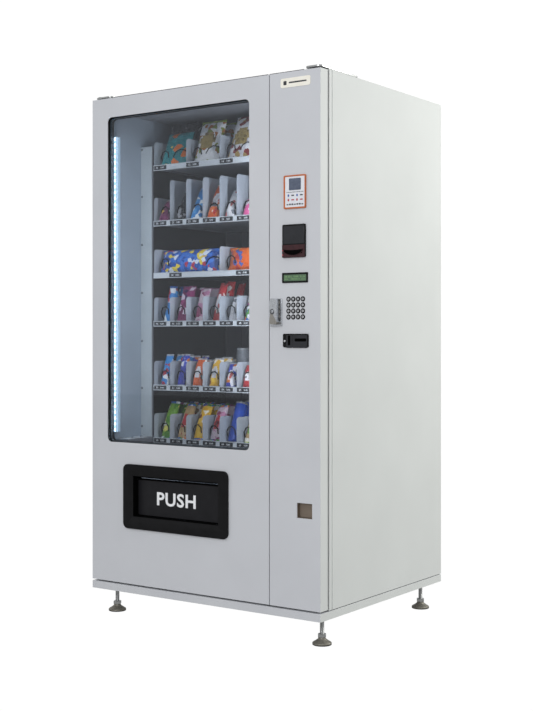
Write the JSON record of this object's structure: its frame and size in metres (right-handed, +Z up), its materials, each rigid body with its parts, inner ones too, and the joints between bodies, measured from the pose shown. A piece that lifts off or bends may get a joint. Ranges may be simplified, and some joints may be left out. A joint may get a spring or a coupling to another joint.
{
  "type": "snack vending machine",
  "caption": "Free-standing snack vending machine with a glazed display door, sprung-key payment door, slide-out spiral trays, push-in delivery flap and levelling feet.",
  "frame": {"origin": "centre of the footprint on the floor, under the levelling feet", "axes": "+Z up, the doors face -Y, +X to the right as a customer faces the machine"},
  "size_m": [1.027, 0.89, 1.9545],
  "materials": {
    "painted_steel": "satin powder coat",
    "galvanised_steel": "dull zinc",
    "liner_sheet": "satin lining over foam",
    "tray_sheet": "satin grey paint",
    "black_plastic": "fine matt texture",
    "flap_plastic": "satin",
    "black_rubber": "matt",
    "black_wire": "black coated wire",
    "lock_metal": "satin chrome",
    "key_metal": "satin",
    "return_steel": "satin stainless",
    "led_profile": "glowing diffuser",
    "reader_plastic": "satin",
    "clear_glass": "polished"
  },
  "bodies": {
    "cabinet": {"base_plinth": "painted_steel", "left_side_panel": "painted_steel", "right_side_panel": "painted_steel", "top_panel": "painted_steel", "rear_panel": "painted_steel", "inner_liner": "liner_sheet", "upper_hinge_left": "galvanised_steel", "upper_hinge_right": "galvanised_steel", "delivery_bin": "tray_sheet", "cooling_unit": "galvanised_steel"},
    "fan": {"fan_impeller": "black_plastic"},
    "glass_door": {"glass_door_skin": "painted_steel", "door_inner_frame": "liner_sheet", "window_glass": "clear_glass", "glazing_gasket": "black_rubber", "led_strip": "led_profile", "hatch_bezel": "black_plastic"},
    "delivery_flap": {"push_flap": "flap_plastic"},
    "payment_door": {"panel_door": "painted_steel", "lock_housing": "lock_metal", "cashless_reader": "reader_plastic", "bill_validator": "black_plastic", "control_module": "black_plastic", "coin_acceptor": "black_plastic", "coin_return_cup": "return_steel"},
    "door_handle": {"lock_handle": "lock_metal"},
    "coin_button": {"coin_return_button": "key_metal"},
    "coin_flap": {"coin_return_flap": "return_steel"},
    "foot_front_left_body": {"foot_front_left": "galvanised_steel"},
    "foot_front_right_body": {"foot_front_right": "galvanised_steel"},
    "foot_rear_left_body": {"foot_rear_left": "galvanised_steel"},
    "foot_rear_right_body": {"foot_rear_right": "galvanised_steel"},
    "key_1_1_body": {"key_1_1": "key_metal"},
    "key_1_2_body": {"key_1_2": "key_metal"},
    "key_1_3_body": {"key_1_3": "key_metal"},
    "key_1_4_body": {"key_1_4": "key_metal"},
    "key_2_1_body": {"key_2_1": "key_metal"},
    "key_2_2_body": {"key_2_2": "key_metal"},
    "key_2_3_body": {"key_2_3": "key_metal"},
    "key_2_4_body": {"key_2_4": "key_metal"},
    "key_3_1_body": {"key_3_1": "key_metal"},
    "key_3_2_body": {"key_3_2": "key_metal"},
    "key_3_3_body": {"key_3_3": "key_metal"},
    "key_3_4_body": {"key_3_4": "key_metal"},
    "key_4_1_body": {"key_4_1": "key_metal"},
    "key_4_2_body": {"key_4_2": "key_metal"},
    "key_4_3_body": {"key_4_3": "key_metal"},
    "key_4_4_body": {"key_4_4": "key_metal"},
    "tray_1_body": {"tray_1": "tray_sheet"},
    "tray_2_body": {"tray_2": "tray_sheet"},
    "tray_3_body": {"tray_3": "tray_sheet"},
    "tray_4_body": {"tray_4": "tray_sheet"},
    "tray_5_body": {"tray_5": "tray_sheet"},
    "tray_6_body": {"tray_6": "tray_sheet"},
    "spiral_1_body": {"spiral_1": "black_wire"},
    "spiral_2_body": {"spiral_2": "black_wire"},
    "spiral_3_body": {"spiral_3": "black_wire"},
    "spiral_4_body": {"spiral_4": "black_wire"},
    "spiral_5_body": {"spiral_5": "black_wire"},
    "spiral_6_body": {"spiral_6": "black_wire"}
  },
  "joints": [
    {"name": "glass_door_hinge", "type": "hinge", "parent": "cabinet", "child": "glass_door", "pos_m": [-0.4935, -0.399, 1], "axis": [0, 0, -1], "range_deg": [0, 110]},
    {"name": "payment_door_hinge", "type": "hinge", "parent": "cabinet", "child": "payment_door", "pos_m": [0.4935, -0.399, 1], "axis": [0, 0, 1], "range_deg": [0, 110]},
    {"name": "delivery_flap_hinge", "type": "hinge", "parent": "glass_door", "child": "delivery_flap", "pos_m": [-0.1095, -0.3985, 0.516], "axis": [1, 0, 0], "range_deg": [0, 70]},
    {"name": "door_handle_turn", "type": "hinge", "parent": "payment_door", "child": "door_handle", "pos_m": [0.3325, -0.435, 1.132], "axis": [0, 1, 0], "range_deg": [0, 90]},
    {"name": "coin_flap_hinge", "type": "hinge", "parent": "payment_door", "child": "coin_flap", "pos_m": [0.45, -0.4095, 0.484], "axis": [1, 0, 0], "range_deg": [0, 55]},
    {"name": "coin_button_press", "type": "slide", "parent": "payment_door", "child": "coin_button", "axis": [0, 1, 0], "range_m": [0, 0.004], "stiffness_N_per_m": 250},
    {"name": "key_1_1_press", "type": "slide", "parent": "payment_door", "child": "key_1_1_body", "axis": [0, 1, 0], "range_m": [0, 0.0012], "stiffness_N_per_m": 500},
    {"name": "key_1_2_press", "type": "slide", "parent": "payment_door", "child": "key_1_2_body", "axis": [0, 1, 0], "range_m": [0, 0.0012], "stiffness_N_per_m": 500},
    {"name": "key_1_3_press", "type": "slide", "parent": "payment_door", "child": "key_1_3_body", "axis": [0, 1, 0], "range_m": [0, 0.0012], "stiffness_N_per_m": 500},
    {"name": "key_1_4_press", "type": "slide", "parent": "payment_door", "child": "key_1_4_body", "axis": [0, 1, 0], "range_m": [0, 0.0012], "stiffness_N_per_m": 500},
    {"name": "key_2_1_press", "type": "slide", "parent": "payment_door", "child": "key_2_1_body", "axis": [0, 1, 0], "range_m": [0, 0.0012], "stiffness_N_per_m": 500},
    {"name": "key_2_2_press", "type": "slide", "parent": "payment_door", "child": "key_2_2_body", "axis": [0, 1, 0], "range_m": [0, 0.0012], "stiffness_N_per_m": 500},
    {"name": "key_2_3_press", "type": "slide", "parent": "payment_door", "child": "key_2_3_body", "axis": [0, 1, 0], "range_m": [0, 0.0012], "stiffness_N_per_m": 500},
    {"name": "key_2_4_press", "type": "slide", "parent": "payment_door", "child": "key_2_4_body", "axis": [0, 1, 0], "range_m": [0, 0.0012], "stiffness_N_per_m": 500},
    {"name": "key_3_1_press", "type": "slide", "parent": "payment_door", "child": "key_3_1_body", "axis": [0, 1, 0], "range_m": [0, 0.0012], "stiffness_N_per_m": 500},
    {"name": "key_3_2_press", "type": "slide", "parent": "payment_door", "child": "key_3_2_body", "axis": [0, 1, 0], "range_m": [0, 0.0012], "stiffness_N_per_m": 500},
    {"name": "key_3_3_press", "type": "slide", "parent": "payment_door", "child": "key_3_3_body", "axis": [0, 1, 0], "range_m": [0, 0.0012], "stiffness_N_per_m": 500},
    {"name": "key_3_4_press", "type": "slide", "parent": "payment_door", "child": "key_3_4_body", "axis": [0, 1, 0], "range_m": [0, 0.0012], "stiffness_N_per_m": 500},
    {"name": "key_4_1_press", "type": "slide", "parent": "payment_door", "child": "key_4_1_body", "axis": [0, 1, 0], "range_m": [0, 0.0012], "stiffness_N_per_m": 500},
    {"name": "key_4_2_press", "type": "slide", "parent": "payment_door", "child": "key_4_2_body", "axis": [0, 1, 0], "range_m": [0, 0.0012], "stiffness_N_per_m": 500},
    {"name": "key_4_3_press", "type": "slide", "parent": "payment_door", "child": "key_4_3_body", "axis": [0, 1, 0], "range_m": [0, 0.0012], "stiffness_N_per_m": 500},
    {"name": "key_4_4_press", "type": "slide", "parent": "payment_door", "child": "key_4_4_body", "axis": [0, 1, 0], "range_m": [0, 0.0012], "stiffness_N_per_m": 500},
    {"name": "foot_front_left_screw", "type": "slide", "parent": "cabinet", "child": "foot_front_left_body", "axis": [0, 0, -1], "range_m": [0, 0.02]},
    {"name": "foot_front_right_screw", "type": "slide", "parent": "cabinet", "child": "foot_front_right_body", "axis": [0, 0, -1], "range_m": [0, 0.02]},
    {"name": "foot_rear_left_screw", "type": "slide", "parent": "cabinet", "child": "foot_rear_left_body", "axis": [0, 0, -1], "range_m": [0, 0.02]},
    {"name": "foot_rear_right_screw", "type": "slide", "parent": "cabinet", "child": "foot_rear_right_body", "axis": [0, 0, -1], "range_m": [0, 0.02]},
    {"name": "tray_1_slide", "type": "slide", "parent": "cabinet", "child": "tray_1_body", "axis": [0, -1, 0], "range_m": [0, 0.15]},
    {"name": "tray_2_slide", "type": "slide", "parent": "cabinet", "child": "tray_2_body", "axis": [0, -1, 0], "range_m": [0, 0.15]},
    {"name": "tray_3_slide", "type": "slide", "parent": "cabinet", "child": "tray_3_body", "axis": [0, -1, 0], "range_m": [0, 0.15]},
    {"name": "tray_4_slide", "type": "slide", "parent": "cabinet", "child": "tray_4_body", "axis": [0, -1, 0], "range_m": [0, 0.15]},
    {"name": "tray_5_slide", "type": "slide", "parent": "cabinet", "child": "tray_5_body", "axis": [0, -1, 0], "range_m": [0, 0.15]},
    {"name": "tray_6_slide", "type": "slide", "parent": "cabinet", "child": "tray_6_body", "axis": [0, -1, 0], "range_m": [0, 0.15]},
    {"name": "spiral_1_spin", "type": "hinge", "parent": "tray_1_body", "child": "spiral_1_body", "pos_m": [-0.36194, -0.19, 1.7389], "axis": [0, 1, 0], "continuous": true},
    {"name": "spiral_2_spin", "type": "hinge", "parent": "tray_2_body", "child": "spiral_2_body", "pos_m": [-0.36194, -0.19, 1.5229], "axis": [0, 1, 0], "continuous": true},
    {"name": "spiral_3_spin", "type": "hinge", "parent": "tray_3_body", "child": "spiral_3_body", "pos_m": [-0.36194, -0.19, 1.3209], "axis": [0, 1, 0], "continuous": true},
    {"name": "spiral_4_spin", "type": "hinge", "parent": "tray_4_body", "child": "spiral_4_body", "pos_m": [-0.36194, -0.19, 1.1339], "axis": [0, 1, 0], "continuous": true},
    {"name": "spiral_5_spin", "type": "hinge", "parent": "tray_5_body", "child": "spiral_5_body", "pos_m": [-0.36194, -0.19, 0.8864], "axis": [0, 1, 0], "continuous": true},
    {"name": "spiral_6_spin", "type": "hinge", "parent": "tray_6_body", "child": "spiral_6_body", "pos_m": [-0.36194, -0.19, 0.6819], "axis": [0, 1, 0], "continuous": true},
    {"name": "fan_spin", "type": "hinge", "parent": "cabinet", "child": "fan", "pos_m": [-0.2135, 0.137, 0.34], "axis": [0, 1, 0], "continuous": true}
  ]
}
